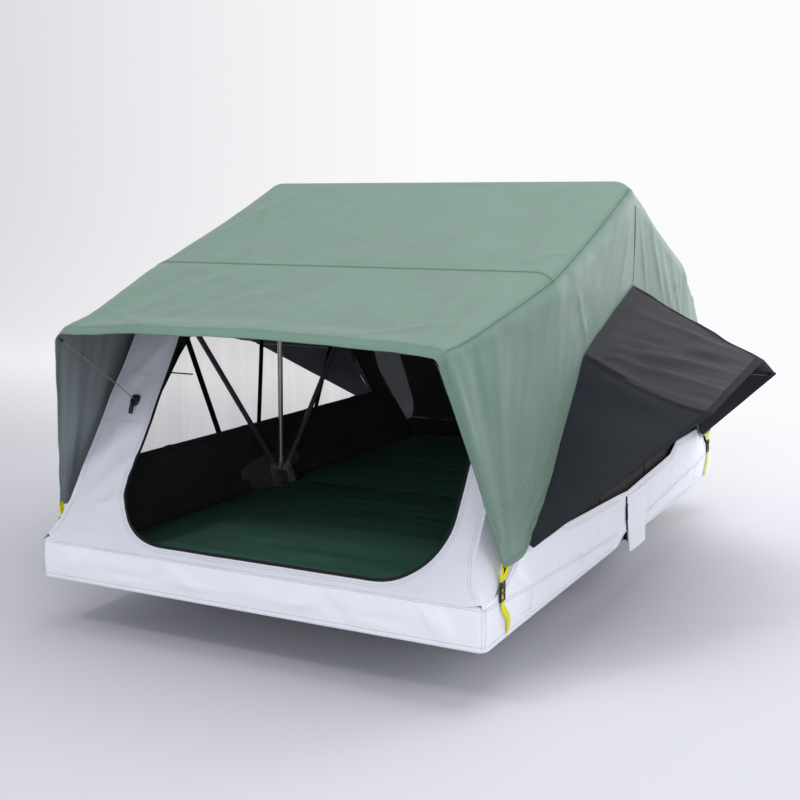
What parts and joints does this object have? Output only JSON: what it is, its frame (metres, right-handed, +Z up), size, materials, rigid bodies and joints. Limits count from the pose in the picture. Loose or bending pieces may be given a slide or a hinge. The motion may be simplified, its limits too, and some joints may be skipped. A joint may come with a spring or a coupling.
{
  "type": "roof top tent",
  "caption": "Folding soft-shell roof top tent: base hinged in halves, fan of hoops on side hubs, green flysheet with canopies, grey walls and skirt, black side hoods.",
  "frame": {"origin": "centre of the fold line, on the plane of the mounting rails' undersides", "axes": "+Z up, +Y along the tent from the folding front half to the fixed rear half, +X across the tent"},
  "size_m": [2.214, 2.4716, 1.2141],
  "materials": {
    "frame_aluminium": "satin anodised",
    "deck_panel": "coated sandwich panel",
    "mattress_green": "woven cover",
    "dark_steel": "powder coat",
    "bright_steel": "bright zinc",
    "hub_grey": "powder coat",
    "grey_fabric": "coated polyester",
    "yellow_webbing": "woven webbing",
    "black_plastic": "moulded",
    "black_zip": "zip tape",
    "green_fabric": "coated polyester",
    "black_fabric": "blackout polyester",
    "mesh": "fine insect mesh",
    "hood_fabric": "coated polyester",
    "dark_tube": "dark anodised",
    "bright_tube": "satin"
  },
  "bodies": {
    "rear_base": {"mounting_rails": "frame_aluminium", "rail_end_caps": "black_plastic", "rear_deck": "deck_panel", "rear_side_rails": "frame_aluminium", "rear_end_beam": "frame_aluminium", "rear_hinge_beam": "frame_aluminium", "rear_mattress": "mattress_green", "hub_brackets": "hub_grey", "pivot_bolts": "bright_steel", "hub_spacers": "black_plastic", "rear_hinge_plates": "dark_steel", "rear_rivets": "bright_steel", "fold_pins": "bright_steel", "rear_skirt": "grey_fabric", "slit_flaps": "grey_fabric", "slit_zips": "black_zip", "rear_straps": "yellow_webbing", "rear_buckles": "black_plastic"},
    "front_base": {"front_deck": "deck_panel", "front_side_rails": "frame_aluminium", "front_end_beam": "frame_aluminium", "front_hinge_beam": "frame_aluminium", "front_mattress": "mattress_green", "front_hinge_plates": "dark_steel", "front_rivets": "bright_steel", "front_skirt": "grey_fabric", "front_straps": "yellow_webbing", "front_buckles": "black_plastic"},
    "front_hoop": {"front_hoop_legs": "dark_tube", "front_hoop_bar": "dark_tube", "front_hoop_elbows": "black_plastic", "front_hoop_eyes": "hub_grey"},
    "mid_hoop": {"mid_hoop_legs": "bright_tube", "mid_hoop_bar": "bright_tube", "mid_hoop_elbows": "black_plastic", "mid_hoop_eyes": "hub_grey", "flysheet": "green_fabric", "front_wall": "grey_fabric", "front_door_zip": "black_zip", "front_door_roll": "grey_fabric", "rear_wall": "grey_fabric", "rear_door_zip": "black_zip", "rear_door": "grey_fabric", "side_wall_left": "black_fabric", "side_wall_right": "black_fabric", "window_meshes": "mesh", "canopy_rods": "bright_steel", "rod_sockets": "black_plastic"},
    "rear_hoop": {"rear_hoop_legs": "dark_tube", "rear_hoop_bar": "dark_tube", "rear_hoop_elbows": "black_plastic", "rear_hoop_eyes": "hub_grey"},
    "hood_left": {"hood_left": "hood_fabric", "hood_rods_left": "black_plastic"},
    "hood_right": {"hood_right": "hood_fabric", "hood_rods_right": "black_plastic"},
    "zip_left": {"zip_pull_left": "black_plastic"},
    "zip_right": {"zip_pull_right": "black_plastic"}
  },
  "joints": [
    {"name": "base_fold", "type": "hinge", "parent": "rear_base", "child": "front_base", "pos_m": [0, 0, 0.166], "axis": [-1, 0, 0], "range_deg": [0, 180], "deforming": ["flysheet", "front_wall", "front_door_zip", "front_door_roll", "rear_wall", "rear_door_zip", "rear_door", "side_wall_left", "side_wall_right", "window_meshes", "canopy_rods", "rod_sockets", "hood_left", "hood_right", "hood_rods_left", "hood_rods_right", "front_skirt", "rear_skirt", "slit_flaps", "slit_zips", "front_straps", "rear_straps"]},
    {"name": "front_hoop_swing", "type": "hinge", "parent": "rear_base", "child": "front_hoop", "pos_m": [0, 0, 0.166], "axis": [-1, 0, 0], "range_deg": [0, 131]},
    {"name": "mid_hoop_swing", "type": "hinge", "parent": "rear_base", "child": "mid_hoop", "pos_m": [0, 0, 0.166], "axis": [-1, 0, 0], "range_deg": [0, 90.5]},
    {"name": "rear_hoop_swing", "type": "hinge", "parent": "rear_base", "child": "rear_hoop", "pos_m": [0, 0, 0.166], "axis": [-1, 0, 0], "range_deg": [0, 50]},
    {"name": "hood_left_fold", "type": "hinge", "parent": "mid_hoop", "child": "hood_left", "pos_m": [-0.6858, 0, 0.875], "axis": [0, -1, 0], "range_deg": [0, 60]},
    {"name": "hood_right_fold", "type": "hinge", "parent": "mid_hoop", "child": "hood_right", "pos_m": [0.6858, 0, 0.875], "axis": [0, 1, 0], "range_deg": [0, 60]},
    {"name": "zip_left_slide", "type": "slide", "parent": "rear_base", "child": "zip_left", "axis": [0, 0, 1], "range_m": [-0.06, 0]},
    {"name": "zip_right_slide", "type": "slide", "parent": "rear_base", "child": "zip_right", "axis": [0, 0, 1], "range_m": [-0.06, 0]}
  ],
  "couplings": [
    {"joint": "front_hoop_swing", "follows": "base_fold", "ratio": 0.72378},
    {"joint": "mid_hoop_swing", "follows": "base_fold", "ratio": 0.5},
    {"joint": "rear_hoop_swing", "follows": "base_fold", "ratio": 0.27622},
    {"joint": "hood_left_fold", "follows": "base_fold", "ratio": 0.33333},
    {"joint": "hood_right_fold", "follows": "base_fold", "ratio": 0.33333}
  ]
}
